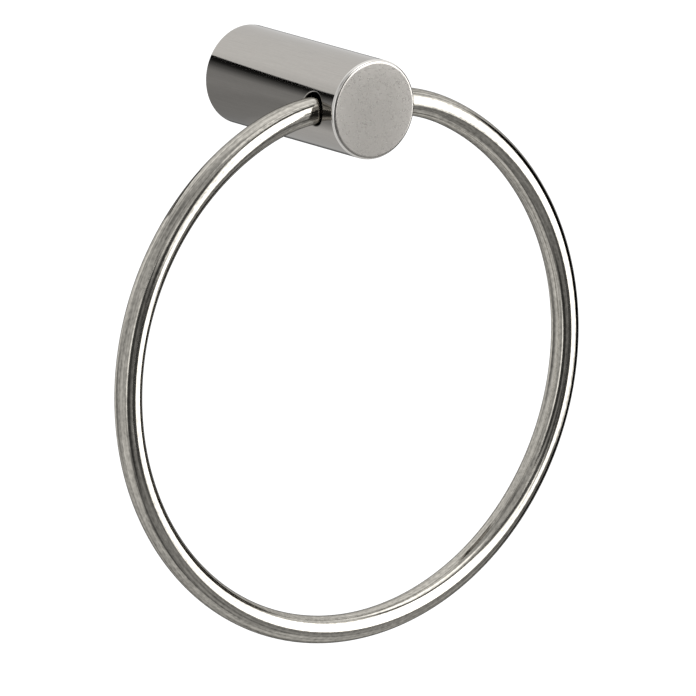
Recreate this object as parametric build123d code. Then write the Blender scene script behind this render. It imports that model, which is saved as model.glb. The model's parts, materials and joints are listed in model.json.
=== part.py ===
from build123d import *
import os
from math import asin, degrees, sqrt

# A towel ring for a wall, in millimetres.
# The wall is the plane y = 0 and the post stands out from it towards -Y. +Z is up.
# The origin is the middle of the post's rear face.

# The post is a turned bar.
post_diameter = 29.0
post_length = 62.0
post_front_round = 1.1
post_bore_floor_gap = 1.5

# The cross hole carries the ring.
cross_hole_setback = 10.2
cross_hole_ease = 0.3
rod_play = 0.8
rod_rest_gap = 0.4

# The ring is one bent rod: a short straight run inside the post, a shoulder bend on each side of it,
# and one large bend round the rest.
rod_diameter = 8.0
ring_bend_radius = 77.6
shoulder_bend_radius = 57.0
straight_run = 17.4

# The bush sits on the wall inside the post.
bush_diameter = 18.0
bush_length = 12.0
bush_lead_in = 0.6
bush_slide_gap = 0.1
wall_screw_hole_diameter = 5.5
wall_screw_head_diameter = 11.0
groove_from_wall = 6.0
groove_depth = 1.5

# The grub screw locks the post to the bush from below.
grub_diameter = 5.0
grub_recess = 0.35
grub_point_flat = 1.2
grub_end_bevel = 0.4
grub_socket_across_flats = 2.5
grub_socket_depth = 3.0
grub_thread_gap = 0.05
grub_seat_gap = 0.05
grub_hole_ease = 0.3

# Values that follow from the sizes above.
post_radius = post_diameter / 2
rod_radius = rod_diameter / 2
bush_radius = bush_diameter / 2
grub_radius = grub_diameter / 2
cross_hole_y = -(post_length - cross_hole_setback)
cross_hole_radius = rod_radius + rod_play
bush_bore_radius = bush_radius + bush_slide_gap
groove_root_radius = bush_radius - groove_depth
grub_hole_radius = grub_radius + grub_thread_gap

# Half the angle that the two shoulder bends and the straight run take out of the large bend.
half_straight = straight_run / 2
bend_difference = ring_bend_radius - shoulder_bend_radius
shoulder_angle = degrees(asin(half_straight / bend_difference))

# The rod bends down a little on its way to the hole's mouth, and hangs there close above the hole's floor.
mouth_reach = sqrt(post_radius**2 - cross_hole_radius**2)
mouth_run = max(mouth_reach - half_straight, 0)
mouth_drop = shoulder_bend_radius - sqrt(shoulder_bend_radius**2 - mouth_run**2)
rod_axis_z = mouth_drop - (rod_play - rod_rest_gap)


def mouth_edges(part, hole_radius):
    """The round edges where a drilled hole of this radius breaks out of the part."""
    walls = part.faces().filter_by(GeomType.CYLINDER)
    hole_wall = walls.filter_by(lambda face: abs(face.radius - hole_radius) < 1e-6)
    return hole_wall.edges().filter_by(GeomType.LINE, reverse=True)


def make_post():
    """The bar with its rounded front edge, the bush's bore, the ring's cross hole and the grub screw's hole."""
    wall_to_front = Plane.XZ
    with BuildPart() as post:
        with BuildSketch(wall_to_front):
            Circle(post_radius)
        extrude(amount=post_length)
        front_face = post.faces().sort_by(Axis.Y)[0]
        fillet(front_face.edges(), post_front_round)

        with BuildSketch(wall_to_front):
            Circle(bush_bore_radius)
        extrude(amount=bush_length + post_bore_floor_gap, mode=Mode.SUBTRACT)

        with BuildSketch(Plane.YZ):
            with Locations((cross_hole_y, 0)):
                Circle(cross_hole_radius)
        extrude(amount=post_diameter, both=True, mode=Mode.SUBTRACT)
        fillet(mouth_edges(post, cross_hole_radius), cross_hole_ease)

        with BuildSketch(Plane.XY):
            with Locations((0, -groove_from_wall)):
                Circle(grub_hole_radius)
        extrude(amount=-post_diameter, mode=Mode.SUBTRACT)
        outer_mouth = mouth_edges(post, grub_hole_radius).sort_by(Axis.Z)[0]
        fillet(outer_mouth, grub_hole_ease)
    return post.part


def make_ring():
    """The rod swept once round its closed path, in the plane of the cross hole."""
    ring_plane = Plane.XZ.offset(-cross_hole_y)
    with BuildPart() as ring:
        with BuildLine(ring_plane) as path:
            straight = Line((-half_straight, rod_axis_z), (half_straight, rod_axis_z))
            right_shoulder = JernArc(straight @ 1, straight % 1, shoulder_bend_radius, -shoulder_angle)
            large_bend = JernArc(
                right_shoulder @ 1, right_shoulder % 1, ring_bend_radius, -(360 - 2 * shoulder_angle)
            )
            JernArc(large_bend @ 1, large_bend % 1, shoulder_bend_radius, -shoulder_angle)
        with BuildSketch(Plane(origin=path.wire() @ 0, z_dir=path.wire() % 0)):
            Circle(rod_radius)
        sweep(path=path.wire())
    return ring.part


def make_wall_bush():
    """A turned bush: countersunk in front for the wall screw, with a V-groove round it for the grub screw."""
    hole_radius = wall_screw_hole_diameter / 2
    head_radius = wall_screw_head_diameter / 2
    countersink_depth = head_radius - hole_radius
    with BuildPart() as bush:
        with BuildSketch():
            Polygon(
                (hole_radius, 0),
                (bush_radius, 0),
                (bush_radius, -(groove_from_wall - groove_depth)),
                (groove_root_radius, -groove_from_wall),
                (bush_radius, -(groove_from_wall + groove_depth)),
                (bush_radius, -(bush_length - bush_lead_in)),
                (bush_radius - bush_lead_in, -bush_length),
                (head_radius, -bush_length),
                (hole_radius, -(bush_length - countersink_depth)),
                align=None,
            )
        revolve(axis=Axis.Y)
    return bush.part


def make_grub_screw():
    """A socket screw whose cone point stands in the bush's groove, with its socket facing down."""
    point_flat_radius = grub_point_flat / 2
    point_length = grub_radius - point_flat_radius
    point_z = -(groove_root_radius + point_flat_radius + grub_seat_gap)
    end_z = -(post_radius - grub_recess)
    with BuildPart() as screw:
        with BuildSketch(Plane.XZ):
            Polygon(
                (0, point_z),
                (point_flat_radius, point_z),
                (grub_radius, point_z - point_length),
                (grub_radius, end_z + grub_end_bevel),
                (grub_radius - grub_end_bevel, end_z),
                (0, end_z),
                align=None,
            )
        revolve(axis=Axis.Z)
        with BuildSketch(Plane.XY.offset(end_z)):
            RegularPolygon(grub_socket_across_flats / 2, 6, major_radius=False)
        extrude(amount=grub_socket_depth, mode=Mode.SUBTRACT)
    return Pos(0, -groove_from_wall, 0) * screw.part


pieces = {
    "post": make_post(),
    "ring": make_ring(),
    "wall_bush": make_wall_bush(),
    "grub_screw": make_grub_screw(),
}

os.makedirs("parts", exist_ok=True)
for name, piece in pieces.items():
    export_step(piece, f"parts/{name}.step")

print(f"ring turns about x through y = {cross_hole_y:.3f}, z = {rod_axis_z:.3f}")
print(f"rod meets the post's side {mouth_drop:.3f} below its straight run")
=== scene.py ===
# %% [markdown]
# # A wall towel ring in satin steel
#
# A short round post stands out from the wall, and a ring of bent rod hangs in a cross hole near its front.
# The solids come from the CAD model, and this lesson gives them their finish, a camera and a small studio.
# Every length is in metres. The wall is the plane y = 0, the post points to -Y and +Z is up.

import json
from math import cos, pi, radians, sin, tan

import bpy
from mathutils import Matrix, Vector


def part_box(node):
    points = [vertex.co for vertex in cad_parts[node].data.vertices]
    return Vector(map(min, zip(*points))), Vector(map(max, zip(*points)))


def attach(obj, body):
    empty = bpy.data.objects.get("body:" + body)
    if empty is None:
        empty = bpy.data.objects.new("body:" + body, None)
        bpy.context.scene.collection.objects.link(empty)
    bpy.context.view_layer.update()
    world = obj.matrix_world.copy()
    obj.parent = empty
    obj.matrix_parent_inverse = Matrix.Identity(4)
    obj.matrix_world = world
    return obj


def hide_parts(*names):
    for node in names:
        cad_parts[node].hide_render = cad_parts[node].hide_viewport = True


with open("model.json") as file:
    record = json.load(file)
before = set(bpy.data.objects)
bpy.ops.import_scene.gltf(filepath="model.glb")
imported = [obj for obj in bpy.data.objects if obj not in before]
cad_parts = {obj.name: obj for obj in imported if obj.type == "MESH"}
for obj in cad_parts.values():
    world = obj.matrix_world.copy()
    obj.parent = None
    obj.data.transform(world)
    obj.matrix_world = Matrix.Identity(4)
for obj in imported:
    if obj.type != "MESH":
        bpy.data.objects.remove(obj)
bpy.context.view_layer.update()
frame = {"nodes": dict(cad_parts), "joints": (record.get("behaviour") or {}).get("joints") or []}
print("CAD nodes:", ", ".join(sorted(frame["nodes"])))

# %% [markdown]
# ## The camera
#
# The photograph was taken from the left of the post and a little above it, with a long lens, so the ring's
# near and far sides are almost the same size. A camera can be set by its place and three turns, but those
# are hard to read. Here it is placed the way a photographer would say it: a point to aim at, how far round
# and how high to stand, how far away, and how much the camera leans.

# %% Place the camera
camera_aim = Vector((-0.00035, -0.0518, -0.07123))
camera_distance = 4.583
camera_azimuth = radians(-36.52)
camera_elevation = radians(12.07)
camera_lean = radians(1.01)
sensor_width_mm = 36
focal_length_mm = 827.6

camera = bpy.data.objects.new("camera", bpy.data.cameras.new("camera"))
camera.data.sensor_width = sensor_width_mm
camera.data.lens = focal_length_mm
turn = Matrix.Rotation(camera_azimuth, 4, "Z") @ Matrix.Rotation(pi / 2 - camera_elevation, 4, "X")
stand_back = Matrix.Translation((0, 0, camera_distance))
lean = Matrix.Rotation(camera_lean, 4, "Z")
camera.matrix_world = Matrix.Translation(camera_aim) @ turn @ stand_back @ lean
bpy.context.scene.collection.objects.link(camera)
bpy.context.scene.camera = camera
bpy.context.scene.view_settings.view_transform = "Standard"
print("camera stands at", [round(value, 3) for value in camera.matrix_world.translation])

# %% [markdown]
# ## Helpers for node trees
#
# Finishes and shapes below are built from nodes. Blender takes several lines to add one node, so these
# helpers do it in one: they add the node, set what is said about it and feed its inputs, from a plain value
# or from another node's output.


# %% Node helpers
def feed(socket, value):
    """Feeds an input from another node's output, or sets it to a plain value."""
    if isinstance(value, bpy.types.NodeSocket):
        socket.id_data.links.new(value, socket)
    else:
        socket.default_value = value


def add_node(tree, kind, inputs=None, **settings):
    """Adds a node of this kind with these settings. Inputs go by name or by number."""
    node = tree.nodes.new(kind)
    for name, value in settings.items():
        setattr(node, name, value)
    for key, value in (inputs or {}).items():
        feed(node.inputs[key], value)
    return node


def calculate(tree, operation, *values):
    """A Math node's result."""
    return add_node(tree, "ShaderNodeMath", dict(enumerate(values)), operation=operation).outputs[0]


def new_material(name):
    """A material with nothing but its output node."""
    material = bpy.data.materials.new(name)
    material.use_nodes = True
    material.node_tree.nodes.clear()
    return material, material.node_tree.nodes.new("ShaderNodeOutputMaterial")


# %% [markdown]
# ## White surroundings
#
# The background of the photograph is plain white. A large white box round the object could give it, but its
# corners would show in the metal. A white world of strength 1 has no corners, and it also lights the object
# at a plain level.

# %% White world
world = bpy.data.worlds.new("white_room")
world.use_nodes = True
background = world.node_tree.nodes["Background"].inputs
background["Color"].default_value = (1, 1, 1, 1)
background["Strength"].default_value = 1
bpy.context.scene.world = world
print("world:", world.name)

# %% [markdown]
# ## A pale floor
#
# A towel ring hangs high on a wall, so the floor is far below it. Plain paint would look grey beside the
# white world. To the camera, and in mirror reflections, the floor glows a little on top of its own pale
# colour, so that it ends in the same white. From underneath it is clear, so that the ring can be seen from
# there too.

# %% Floor finish
floor_colour = (0.8, 0.8, 0.8, 1)
floor_glow = 0.35


def front_only(tree, shader):
    """A shader that shows on the front of a plane. From behind, the plane is clear."""
    behind = add_node(tree, "ShaderNodeNewGeometry").outputs["Backfacing"]
    air = add_node(tree, "ShaderNodeBsdfTransparent").outputs[0]
    return add_node(tree, "ShaderNodeMixShader", {0: behind, 1: shader, 2: air}).outputs[0]


def make_floor_finish():
    """Pale paint, lifted to white where the camera or a mirror sees it."""
    material, output = new_material("pale_floor")
    tree = material.node_tree
    ray = add_node(tree, "ShaderNodeLightPath").outputs
    seen_plainly = calculate(tree, "MAXIMUM", ray["Is Camera Ray"], ray["Is Transmission Ray"])
    seen = calculate(tree, "MAXIMUM", seen_plainly, ray["Is Glossy Ray"])
    paint = add_node(tree, "ShaderNodeBsdfDiffuse", {"Color": floor_colour}).outputs[0]
    glow = add_node(tree, "ShaderNodeEmission", {"Strength": calculate(tree, "MULTIPLY", seen, floor_glow)})
    both = add_node(tree, "ShaderNodeAddShader", {0: paint, 1: glow.outputs[0]}).outputs[0]
    feed(output.inputs["Surface"], front_only(tree, both))
    return material


floor_finish = make_floor_finish()
print("floor finish:", floor_finish.name)

# %% Floor
floor_height = -1.3
floor_half_side = 20
square_signs = ((-1, -1), (1, -1), (1, 1), (-1, 1))


def make_plane(name, corners, material):
    """One stage plane through four corners, with a square UV map."""
    mesh = bpy.data.meshes.new(name)
    mesh.from_pydata(corners, [], [(0, 1, 2, 3)])
    mesh.uv_layers.new(name="UVMap")
    for loop, (across, along) in zip(mesh.uv_layers["UVMap"].data, square_signs):
        loop.uv = ((across + 1) / 2, (along + 1) / 2)
    mesh.materials.append(material)
    plane = bpy.data.objects.new(name, mesh)
    bpy.context.scene.collection.objects.link(plane)
    return plane


def level_square(half_side, height):
    """The corners of a level square centred under the origin, from its left front corner on."""
    return [(across * half_side, along * half_side, height) for across, along in square_signs]


make_plane("floor", level_square(floor_half_side, floor_height), floor_finish)
print("floor is at", floor_height, "m")

# %% [markdown]
# ## Places in the studio
#
# Polished metal has hardly any colour of its own: it shows the room. In the photograph the rod carries a
# broad white stripe between dark lines, and the post is pale above and dark below one straight line. A
# photographer makes such stripes with a softbox and cards round the object, so the same is done here. A
# card could be placed by its coordinates, but a stripe depends mostly on the direction in which the ring
# sees the card, so that is what is said: 0 degrees is behind the wall, 90 is to the right, 180 in front and
# 270 to the left.

# %% Where things stand
ring_low, ring_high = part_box("ring")
ring_middle = (ring_low + ring_high) / 2


def look_direction(azimuth, elevation):
    """The unit vector towards a place in the studio, from degrees."""
    around = radians(azimuth)
    upward = radians(elevation)
    return Vector((sin(around) * cos(upward), cos(around) * cos(upward), sin(upward)))


def studio_place(azimuths, elevations, seen_from, distance, roll=0):
    """A panel that fills these ranges of degrees: its middle, its right and up vectors, and its two sizes."""
    towards = look_direction(sum(azimuths) / 2, sum(elevations) / 2)
    right = towards.cross(Vector((0, 0, 1))).normalized()
    right.rotate(Matrix.Rotation(radians(-roll), 3, towards))
    width = 2 * distance * tan(radians(azimuths[1] - azimuths[0]) / 2)
    height = 2 * distance * tan(radians(elevations[1] - elevations[0]) / 2)
    return seen_from + distance * towards, right, right.cross(towards), width, height


print("the middle of the ring is at", [round(value, 3) for value in ring_middle])

# %% [markdown]
# ## The lamp in the softbox
#
# The broad white stripe on the rod comes from one soft light, in front of the ring and to its right. A
# small lamp behind a white sheet would do, but an area lamp makes soft light by itself. Its energy is
# worked out from a brightness, which is what a perfect mirror would show, so 1 is as bright as the white
# room. The camera doesn't see the lamp. The softbox's white front comes with the spots below.

# %% Softbox lamp
lamp_brightness = 1.0
lamp_distance = 1.2
softbox_roll = 38

lamp_place = studio_place((110, 168), (-9, 31), ring_middle, lamp_distance, softbox_roll)
middle, right, up, width, height = lamp_place
softbox = bpy.data.objects.new("softbox", bpy.data.lights.new("softbox", "AREA"))
softbox.data.shape = "ELLIPSE"
softbox.data.size = width
softbox.data.size_y = height
lamp_area = pi / 4 * width * height
softbox.data.energy = lamp_brightness * pi * lamp_area
facing_ring = Matrix((right, -up, up.cross(right))).transposed().to_4x4()
softbox.matrix_world = Matrix.Translation(middle) @ facing_ring
softbox.visible_camera = False
bpy.context.scene.collection.objects.link(softbox)
print(f"softbox: {width:.2f} by {height:.2f} m, {softbox.data.energy:.0f} W")

# %% [markdown]
# ## Cards that only mirrors show
#
# A photographer's cards are lit by the lamps. Here a card glows by itself, because then its shade is simply
# what a perfect mirror would show: 0 is black and 1 is the white of the room. A card must not light the
# object or stand in the picture, so everything but mirror reflections passes it by.


# %% Cards for mirrors
def hang_card(name, corners, material):
    """A card through four corners. Only mirror reflections show it."""
    material.cycles.emission_sampling = "NONE"
    card = make_plane(name, corners, material)
    card.visible_camera = False
    card.visible_diffuse = False
    card.visible_transmission = False
    card.visible_shadow = False


def panel_corners(middle, right, up, width, height):
    """The four corners of a panel."""
    return [middle + right * width / 2 * across + up * height / 2 * along for across, along in square_signs]


# %% [markdown]
# ## Soft spots round the ring
#
# The rod is round, so it mirrors the whole studio, squeezed into stripes along its length. Dark spots,
# which a photographer calls flags, draw its dark lines, the softbox, the strip and the panel draw its white
# ones, and large greys behind them give the tone between. The corners of a square card would show on the
# rod, so each of these is a round spot that fades to clear. A nearer spot hides a farther one, so the
# distances put them in layers.

# %% A soft spot
front_distance = 1.3
# A card's own map runs from 0 to 1 each way.
card_middle = (0.5, 0.5, 0)
spot_radius = 0.5


def rescale(tree, value, old_range, new_range=(0, 1), **settings):
    """A Map Range node's result."""
    limits = zip(("From Min", "From Max", "To Min", "To Max"), (*old_range, *new_range))
    return add_node(tree, "ShaderNodeMapRange", {"Value": value, **dict(limits)}, **settings).outputs[0]


def make_spot_finish(name, shade, soft):
    """A round spot on a square card. It fades to clear over the soft share of its radius."""
    material, output = new_material(name)
    tree = material.node_tree
    place = add_node(tree, "ShaderNodeUVMap").outputs[0]
    reach = add_node(tree, "ShaderNodeVectorMath", {0: place, 1: card_middle}, operation="DISTANCE")
    fade = (spot_radius * (1 - soft), spot_radius)
    clear = rescale(tree, reach.outputs["Value"], fade, interpolation_type="SMOOTHSTEP")
    glow = add_node(tree, "ShaderNodeEmission", {"Strength": shade}).outputs[0]
    air = add_node(tree, "ShaderNodeBsdfTransparent").outputs[0]
    both = add_node(tree, "ShaderNodeMixShader", {0: clear, 1: glow, 2: air}).outputs[0]
    feed(output.inputs["Surface"], both)
    return material


def add_spot(name, azimuths, elevations, shade, soft, roll=0, distance=front_distance):
    """A soft round spot that fills these ranges of degrees as seen from the ring."""
    corners = panel_corners(*studio_place(azimuths, elevations, ring_middle, distance, roll))
    hang_card(name, corners, make_spot_finish(name, shade, soft))
    print(f"{name}: azimuth {azimuths}, elevation {elevations}")


# %% Spots round the ring
flag_distance = 0.6
softbox_distance = 1.4
grey_distance = 1.5
grey_above_distance = 1.6
grey_left_distance = 1.7

add_spot(
    "softbox_front", (97, 181), (-20, 42), shade=3.0, soft=0.12, roll=softbox_roll, distance=softbox_distance
)
add_spot("flag_beside_ring", (68, 112), (-40, 32), shade=0, soft=0.3, distance=flag_distance)
add_spot("flag_behind", (17, 56), (-32, 8), shade=0.15, soft=0.5)
add_spot("flag_in_front", (150, 190), (-27, 4), shade=0.09, soft=0.5)
add_spot("flag_beside_softbox", (168, 200), (-16, 46), shade=0.1, soft=0.6)
add_spot("flag_above_softbox", (122, 198), (38, 53), shade=0.11, soft=0.6, roll=-30)
add_spot("grey_below_softbox", (102, 168), (-48, -15), shade=0.34, soft=0.2)
add_spot("panel_overhead", (123, 187), (50, 76), shade=2.0, soft=0.5, distance=softbox_distance)
add_spot("black_bar", (202, 231), (-46, 34), shade=0.06, soft=0.5)
add_spot("bright_strip", (226, 241), (-32, 32), shade=1.7, soft=0.7, distance=softbox_distance)
add_spot("patch_upper_left", (240, 276), (40, 60), shade=0.3, soft=0.7)
add_spot("flag_behind_left", (300, 350), (-40, 16), shade=0.3, soft=0.8)
add_spot("grey_right", (29, 105), (-64, 18), shade=0.5, soft=0.9, distance=grey_distance)
add_spot("grey_at_camera", (178, 246), (-48, 26), shade=0.3, soft=0.4, distance=grey_distance)
add_spot("grey_upper_left", (186, 268), (20, 86), shade=0.55, soft=0.4, distance=grey_above_distance)
add_spot("grey_left", (219, 331), (-54, 84), shade=0.67, soft=0.6, distance=grey_left_distance)

# %% [markdown]
# ## A dark card behind the post
#
# The post is a straight bar, so a straight edge in the studio shows as a straight line along it. In the
# photograph one such line parts the pale upper half from a black band, which fades to grey further down. A
# soft spot can't draw a straight line, so the post has a card of its own, close behind it on the left. The
# card leans away from the post towards its top, where it is black, and its shades run upright.


# %% A card with shades
def make_card_finish(name, shades, upright):
    """A card with shades along its first edge, or across it if upright, each with its place from 0 to 1."""
    material, output = new_material(name)
    tree = material.node_tree
    place = add_node(tree, "ShaderNodeUVMap").outputs[0]
    along = add_node(tree, "ShaderNodeSeparateXYZ", {0: place}).outputs["Y" if upright else "X"]
    ramp = add_node(tree, "ShaderNodeValToRGB", {0: along})
    brightest = max(shade for _, shade in shades)
    stops = ramp.color_ramp.elements
    while len(stops) < len(shades):
        stops.new(1)
    for stop, (position, shade) in zip(stops, shades):
        grey = shade / brightest
        stop.position = position
        stop.color = (grey, grey, grey, 1)
    glow = add_node(tree, "ShaderNodeEmission", {"Color": ramp.outputs["Color"], "Strength": brightest})
    feed(output.inputs["Surface"], front_only(tree, glow.outputs[0]))
    return material


def add_card(name, corners, shades, upright=False):
    """A card through four corners with these shades. It shows only from the front."""
    hang_card(name, corners, make_card_finish(name, shades, upright))
    print(f"{name}: {len(shades)} shades from {shades[0][1]} to {shades[-1][1]}")


# %% Card behind the post
post_low, post_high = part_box("post")
post_middle = (post_low + post_high) / 2
foot_azimuths = (296, 375)
foot_elevation = -36
foot_reach = 0.062
top_azimuths = (344, 304)
top_elevation = 19
top_reach = 0.148
post_shades = [
    (0, 0.5), (0.06, 0.34), (0.2, 0.31), (0.33, 0.36), (0.5, 0.32), (0.65, 0.12), (0.79, 0.018), (1, 0),
]

foot = [post_middle + foot_reach * look_direction(azimuth, foot_elevation) for azimuth in foot_azimuths]
top = [post_middle + top_reach * look_direction(azimuth, top_elevation) for azimuth in top_azimuths]
add_card("card_behind_post", foot + top, post_shades, upright=True)

# %% [markdown]
# ## A grey card at the front face
#
# The post's front face is flat, so it mirrors one direction only, and in the photograph it is an even grey,
# a little paler at the top. The softbox stands in that direction and would make it white. A small grey card
# close to the face hides the softbox from it, and is small enough to leave the ring's stripes alone.

# %% Card at the front face
face_middle = Vector((post_middle.x, post_low.y, post_middle.z))
face_distance = 0.05
face_shades = [(0.2, 0.68), (0.8, 0.55)]
face_corners = panel_corners(*studio_place((123, 164), (-35, 13), face_middle, face_distance))
add_card("grey_card_at_face", face_corners, face_shades, upright=True)

# %% [markdown]
# ## Cards below
#
# The undersides of the post and the ring mirror what lies below them. In the photograph they are grey, as
# over a table. The white floor can't give that, and a darker floor would show in the picture. So a large
# grey card lies above the floor, with a darker one on it that widens towards the front.

# %% Cards below the ring
table_height = -1.1
table_half_side = 3
table_shades = [(0.2, 0.8), (0.45, 0.7), (1, 0.55)]
add_card("grey_card_below", level_square(table_half_side, table_height), table_shades)

dark_height = table_height + 0.01
dark_rear_y = -0.45
dark_front_y = -3
dark_rear = [(x, dark_rear_y, dark_height) for x in (0.34, -0.64)]
dark_front = [(x, dark_front_y, dark_height) for x in (-4.3, 2.26)]
dark_shades = [(0, 0.38), (0.25, 0.3), (0.4, 0.22), (0.56, 0.15), (0.8, 0.18), (1, 0.45)]
add_card("dark_card_below", dark_rear + dark_front, dark_shades)

# %% [markdown]
# ## Worked steel
#
# All four pieces are steel, and what sets them apart is how they were worked. The post and the ring are
# drawn bar, polished along its length with a fine belt, which leaves fine lines along the bar. On a cut end
# the same grain shows as dots. The bush and the screw are turned, so their lines run round them. A picture
# of brushed metal could be wrapped round each piece, but it would stretch on the bends. One noise does for
# all of them, if it is told each point's place on the work: for a bar that is across, along and across
# again, and for a turned piece how far it is from the axis and how far along it. The long lines count twice
# against the short strokes of the belt. The sum moves the roughness and shifts the colour, and the lines
# also tilt the surface by a hair.


# %% Grain and colours
def add_grain(tree, place, scale, detail):
    """Noise with this many lines to a metre in each direction on the work."""
    stretch = add_node(tree, "ShaderNodeMapping", {"Vector": place, "Scale": scale}).outputs[0]
    noise = add_node(tree, "ShaderNodeTexNoise", {"Vector": stretch, "Scale": 1, "Detail": detail})
    return noise.outputs["Fac"]


def blend(tree, share, first, second):
    """A Mix node's colour: the first where the share is 0 and the second where it is 1."""
    colours = {"Factor": share, "A": first, "B": second}
    return add_node(tree, "ShaderNodeMix", colours, data_type="RGBA").outputs["Result"]


# %% Steel finish
stroke_scale = (1500, 700, 1500)
line_weight = 2
# The weighted sum of the two noises lies mostly in this range.
grain_range = (1, 2)
roughness_spread = (0.75, 1.25)


def make_steel(
    name, find_place, grain_scale, colour, roughness, grain_depth,
    contrast=0.04, edge=0.8, cut_end=None, rim_highlight=None,
):
    """Worked steel. Its edge is how bright it stays at a glancing angle. An end may be rougher, and a rim may
    get a painted highlight in a paler colour.
    """
    material, output = new_material(name)
    tree = material.node_tree
    place = find_place(tree)
    lines = add_grain(tree, place, grain_scale, detail=3)
    strokes = add_grain(tree, place, stroke_scale, detail=2)
    both = calculate(tree, "MULTIPLY_ADD", lines, line_weight, strokes)
    share = rescale(tree, both, grain_range)
    darker = (*((1 - contrast) * part for part in colour), 1)
    paler = (*((1 + contrast) * part for part in colour), 1)
    tone = blend(tree, share, darker, paler)
    spread = rescale(tree, share, (0, 1), roughness_spread)
    whole_roughness = cut_end(tree, roughness) if cut_end else roughness
    bump = add_node(tree, "ShaderNodeBump", {"Height": lines, "Distance": grain_depth})
    finish = {
        # Where a rim is given, its colour carries a painted highlight.
        "Base Color": rim_highlight(tree, tone) if rim_highlight else tone,
        "Metallic": 1,
        "Roughness": calculate(tree, "MULTIPLY", spread, whole_roughness),
        "Specular Tint": (edge, edge, edge, 1),
        "Normal": bump.outputs["Normal"],
    }
    feed(output.inputs["Surface"], add_node(tree, "ShaderNodeBsdfPrincipled", finish).outputs[0])
    return material


def finish_node(node_name, material):
    """Puts a finish on one of the CAD nodes."""
    frame["nodes"][node_name].material_slots[0].material = material
    print(f"{node_name}: {material.name}")


# %% [markdown]
# ## The post
#
# The post's side is polished with a fine belt. Its two flat ends are sanded, so they are rougher. The rounded
# edge of its front gets a paler colour, a painted highlight that shows as a thin light line. Each of these
# could have a material of its own, but that needs the faces sorted first, and the CAD mesh stays as it is. So
# one material tells them apart, by the way the surface faces and by how far it is from the front.

# %% Finish of the post
bar_grain = (3000, 90, 3000)
post_colour = (0.46, 0.44, 0.412)
# A paler colour painted on the rounded front edge: a painted highlight.
rim_highlight_colour = (0.78, 0.76, 0.73, 1)
sanded_roughness = 0.33
front_round = 0.0011
# How far the surface faces along the post where the side gives way to a sanded end.
end_facing = (0.9, 0.98)
# How far it faces the wall where the painted highlight on the rounded edge stops, short of the front end.
highlight_facing = -0.8


def object_place(tree):
    """The post is a straight bar along Y, so its own coordinates will do."""
    return add_node(tree, "ShaderNodeTexCoord").outputs["Object"]


def facing_wall(tree):
    """How far the surface faces the wall: 1 on the rear end, 0 on the side and -1 on the front end."""
    normal = add_node(tree, "ShaderNodeTexCoord").outputs["Normal"]
    return add_node(tree, "ShaderNodeSeparateXYZ", {0: normal}).outputs["Y"]


def sanded_end(tree, side_roughness):
    """The roughness of the side, and of the two sanded ends."""
    either_end = calculate(tree, "ABSOLUTE", facing_wall(tree))
    return rescale(tree, either_end, end_facing, (side_roughness, sanded_roughness))


def painted_rim_highlight(tree, side_colour):
    """The colour of the side, and a painted highlight in a paler colour on the rounded front edge up to the
    sanded end.
    """
    along = add_node(tree, "ShaderNodeSeparateXYZ", {0: object_place(tree)}).outputs["Y"]
    at_front = calculate(tree, "LESS_THAN", along, post_low.y + front_round)
    off_end = calculate(tree, "GREATER_THAN", facing_wall(tree), highlight_facing)
    return blend(tree, calculate(tree, "MULTIPLY", at_front, off_end), side_colour, rim_highlight_colour)


# The post's rounded front edge gets a painted highlight in a paler colour.
post_finish = make_steel(
    "belted_post_painted_rim", object_place, bar_grain, post_colour, roughness=0.07, grain_depth=0.8e-6,
    cut_end=sanded_end, rim_highlight=painted_rim_highlight,
)
finish_node("post", post_finish)

# %% [markdown]
# ## The bush and the grub screw
#
# Both are turned on a lathe, which leaves fine lines round them, and the post hides most of both. Their
# lines follow the lathe's axis, not a bar. A texture mapped by angle would show a seam, so the place on the
# work is worked out instead: how far a point is from the axis, and how far along it. The screw is the
# darker one.

# %% Finishes of the turned pieces
turned_grain = (5000, 5000, 5000)


def calculate_vector(tree, operation, *values):
    """A Vector Math node's outputs."""
    return add_node(tree, "ShaderNodeVectorMath", dict(enumerate(values)), operation=operation).outputs


def turned_place(axis, centre):
    """Gives a function that finds a point's place on a piece turned about this axis."""
    def find_place(tree):
        """How far a point is from the axis, and how far along it."""
        here = calculate_vector(tree, "SUBTRACT", object_place(tree), centre)["Vector"]
        on_axis = calculate_vector(tree, "PROJECT", here, axis)["Vector"]
        off_axis = calculate_vector(tree, "SUBTRACT", here, on_axis)["Vector"]
        reach = calculate_vector(tree, "LENGTH", off_axis)["Value"]
        along = calculate_vector(tree, "DOT_PRODUCT", here, axis)["Value"]
        return add_node(tree, "ShaderNodeCombineXYZ", {"X": reach, "Y": along}).outputs[0]

    return find_place


bush_place = turned_place(axis=(0, 1, 0), centre=(0, 0, 0))
bush_finish = make_steel(
    "turned_bush", bush_place, turned_grain, colour=(0.5, 0.48, 0.45), roughness=0.3, grain_depth=4e-6
)
finish_node("wall_bush", bush_finish)

screw_low, screw_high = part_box("grub_screw")
screw_place = turned_place(axis=(0, 0, 1), centre=(screw_low + screw_high) / 2)
screw_finish = make_steel(
    "blackened_screw", screw_place, turned_grain, colour=(0.2, 0.19, 0.18), roughness=0.35, grain_depth=4e-6
)
finish_node("grub_screw", screw_finish)

# %% [markdown]
# ## The ring's path
#
# The ring is one rod, bent round and joined where the post hides it. The part of it inside the post is
# straight, a gentle shoulder bend follows on each side, and one large bend runs round the rest. The CAD
# ring has this shape already, but its mesh doesn't know how far along the rod a point is, and the grain has
# to follow the bend. So the ring is made again, by a rule: go once round by the direction in which the
# rod's outer side faces, and set each point on the arc that faces that way. Geometry Nodes can follow such
# a rule from a few named sizes.

# %% Rule for the ring's path
hole_joint = frame["joints"][0]
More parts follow.
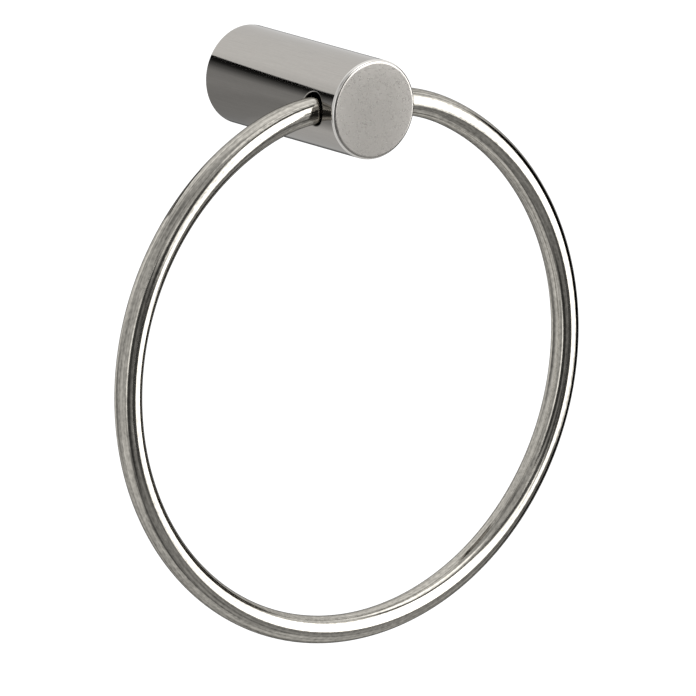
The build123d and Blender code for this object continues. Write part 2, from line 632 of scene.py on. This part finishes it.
# The first four are the CAD model's own sizes. The place of the straight run is the hinge's.
ring_sizes = {
    "Rod Diameter": 0.008,
    "Bend Radius": 0.0776,
    "Shoulder Radius": 0.057,
    "Straight Run": 0.0174,
    "Run Height": hole_joint["pos_m"][2],
    "Wall Distance": hole_joint["pos_m"][1],
}
ring_steps = {"Steps Along": 640, "Steps Around": 48}


def make_ring_path(tree, sizes):
    """The rod's middle line as a closed curve, from the group's size inputs."""
    half_run = calculate(tree, "DIVIDE", sizes["Straight Run"], 2)
    radius_gap = calculate(tree, "SUBTRACT", sizes["Bend Radius"], sizes["Shoulder Radius"])
    shoulder_turn = calculate(tree, "ARCSINE", calculate(tree, "DIVIDE", half_run, radius_gap))

    index = add_node(tree, "GeometryNodeInputIndex").outputs[0]
    # The points start half a step off the top, so the straight run lies between the last and the first.
    step = calculate(tree, "DIVIDE", calculate(tree, "ADD", index, 0.5), sizes["Steps Along"])
    facing = calculate(tree, "MULTIPLY", step, 2 * pi)
    across = calculate(tree, "SINE", facing)
    upward = calculate(tree, "COSINE", facing)
    on_shoulder = calculate(tree, "GREATER_THAN", upward, calculate(tree, "COSINE", shoulder_turn))

    def pick(elsewhere, shoulder):
        """One value on the shoulders and another on the large bend."""
        choice = add_node(tree, "ShaderNodeMix", {"Factor": on_shoulder, "A": elsewhere, "B": shoulder})
        return choice.outputs["Result"]

    radius = pick(sizes["Bend Radius"], sizes["Shoulder Radius"])
    centre_x = pick(0.0, calculate(tree, "MULTIPLY", calculate(tree, "SIGN", across), half_run))
    shoulder_z = calculate(tree, "SUBTRACT", sizes["Run Height"], sizes["Shoulder Radius"])
    centre_drop = calculate(tree, "MULTIPLY", radius_gap, calculate(tree, "COSINE", shoulder_turn))
    centre_z = pick(calculate(tree, "SUBTRACT", shoulder_z, centre_drop), shoulder_z)
    point = {
        "X": calculate(tree, "MULTIPLY_ADD", radius, across, centre_x),
        "Y": sizes["Wall Distance"],
        "Z": calculate(tree, "MULTIPLY_ADD", radius, upward, centre_z),
    }
    loop = add_node(tree, "GeometryNodeCurvePrimitiveCircle", {"Resolution": sizes["Steps Along"]})
    position = add_node(tree, "ShaderNodeCombineXYZ", point).outputs[0]
    path = {"Geometry": loop.outputs["Curve"], "Position": position}
    return add_node(tree, "GeometryNodeSetPosition", path).outputs[0]


print("ring sizes in mm:", {name: round(1000 * size, 2) for name, size in ring_sizes.items()})

# %% [markdown]
# ## The rod along the path
#
# A real ring is straight bar before it is bent, and the belt's lines run along that bar. Curve to Mesh
# sweeps a round section along the path, which is what bending does to the bar. On the way the tree keeps
# two things for each point, its distance along the path and its place on the section. Together they are the
# point's place on the straight bar, and they stay on the mesh for the finish to read.


# %% Sweep the rod along the path
def remember(tree, curve, kind, value):
    """Keeps a value on a curve's points, so that the swept mesh has it too. Gives the curve and the value."""
    keep = add_node(tree, "GeometryNodeCaptureAttribute")
    keep.capture_items.new(kind, "kept")
    feed(keep.inputs["Geometry"], curve)
    feed(keep.inputs["kept"], value)
    return keep.outputs["Geometry"], keep.outputs["kept"]


def sweep_rod(tree, sizes):
    """The rod as a mesh, and each point's place on the straight bar."""
    length = add_node(tree, "GeometryNodeSplineParameter").outputs["Length"]
    path, along = remember(tree, make_ring_path(tree, sizes), "FLOAT", length)
    rod_radius = calculate(tree, "DIVIDE", sizes["Rod Diameter"], 2)
    circle = {"Resolution": sizes["Steps Around"], "Radius": rod_radius}
    section = add_node(tree, "GeometryNodeCurvePrimitiveCircle", circle).outputs["Curve"]
    position = add_node(tree, "GeometryNodeInputPosition").outputs[0]
    section, on_section = remember(tree, section, "VECTOR", position)
    rod = add_node(tree, "GeometryNodeCurveToMesh", {"Curve": path, "Profile Curve": section}).outputs[0]
    across = add_node(tree, "ShaderNodeSeparateXYZ", {0: on_section}).outputs
    bar_place = add_node(tree, "ShaderNodeCombineXYZ", {"X": across["X"], "Y": along, "Z": across["Y"]})
    return rod, bar_place.outputs[0]


# %% Group that makes the ring
def make_ring_tree():
    """The node group that makes the ring from its sizes."""
    tree = bpy.data.node_groups.new("bent_rod_ring", "GeometryNodeTree")
    for name in ring_sizes:
        tree.interface.new_socket(name, in_out="INPUT", socket_type="NodeSocketFloat")
    for name in ring_steps:
        tree.interface.new_socket(name, in_out="INPUT", socket_type="NodeSocketInt")
    tree.interface.new_socket("Finish", in_out="INPUT", socket_type="NodeSocketMaterial")
    tree.interface.new_socket("Ring", in_out="OUTPUT", socket_type="NodeSocketGeometry")
    sizes = add_node(tree, "NodeGroupInput").outputs

    rod, bar_place = sweep_rod(tree, sizes)
    store = {"Geometry": rod, "Name": "bar_place", "Value": bar_place}
    rod = add_node(
        tree, "GeometryNodeStoreNamedAttribute", store, data_type="FLOAT_VECTOR", domain="POINT"
    ).outputs[0]
    rod = add_node(tree, "GeometryNodeSetShadeSmooth", {0: rod}).outputs[0]
    rod = add_node(tree, "GeometryNodeRealizeInstances", {0: rod}).outputs[0]
    rod = add_node(tree, "GeometryNodeSetMaterial", {"Geometry": rod, "Material": sizes["Finish"]}).outputs[0]
    add_node(tree, "NodeGroupOutput", {"Ring": rod})
    return tree


ring_tree = make_ring_tree()
print(f"{ring_tree.name}: {len(ring_tree.nodes)} nodes")

# %% [markdown]
# ## The finished ring
#
# The ring's lines follow the rod all the way round, and they are plainer than the post's. Its finish reads
# each point's place on the straight bar, which the mesh carries. The node group could stay on the ring as a
# modifier, but other programs read only plain meshes. So its result is turned into one and the modifier is
# taken off.


# %% From a node group to a mesh
def make_from_tree(name, tree, values):
    """Runs a node group with these values and gives its result as an object with a plain mesh."""
    maker = bpy.data.objects.new(name, bpy.data.meshes.new(name))
    bpy.context.scene.collection.objects.link(maker)
    modifier = maker.modifiers.new(name, "NODES")
    modifier.node_group = tree
    for socket in tree.interface.items_tree:
        if socket.in_out == "INPUT":
            modifier[socket.identifier] = values[socket.name]
    graph = bpy.context.evaluated_depsgraph_get()
    made = bpy.data.meshes.new_from_object(
        maker.evaluated_get(graph), preserve_all_data_layers=True, depsgraph=graph
    )
    maker.modifiers.clear()
    maker.data = made
    print(f"{name}: {len(made.polygons)} faces")
    return maker


# %% Make the ring
rod_grain = (1600, 12, 1600)
rod_colour = (0.46, 0.44, 0.398)


def bar_attribute(tree):
    """The ring's points carry their place on the straight bar."""
    return add_node(tree, "ShaderNodeAttribute", attribute_name="bar_place").outputs["Vector"]


ring_finish = make_steel(
    "belted_ring", bar_attribute, rod_grain, rod_colour, roughness=0.08, grain_depth=8e-6,
    contrast=0.6, edge=0.4,
)
ring = make_from_tree("bent_rod", ring_tree, {**ring_sizes, **ring_steps, "Finish": ring_finish})
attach(ring, "hanging_ring")
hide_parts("ring")
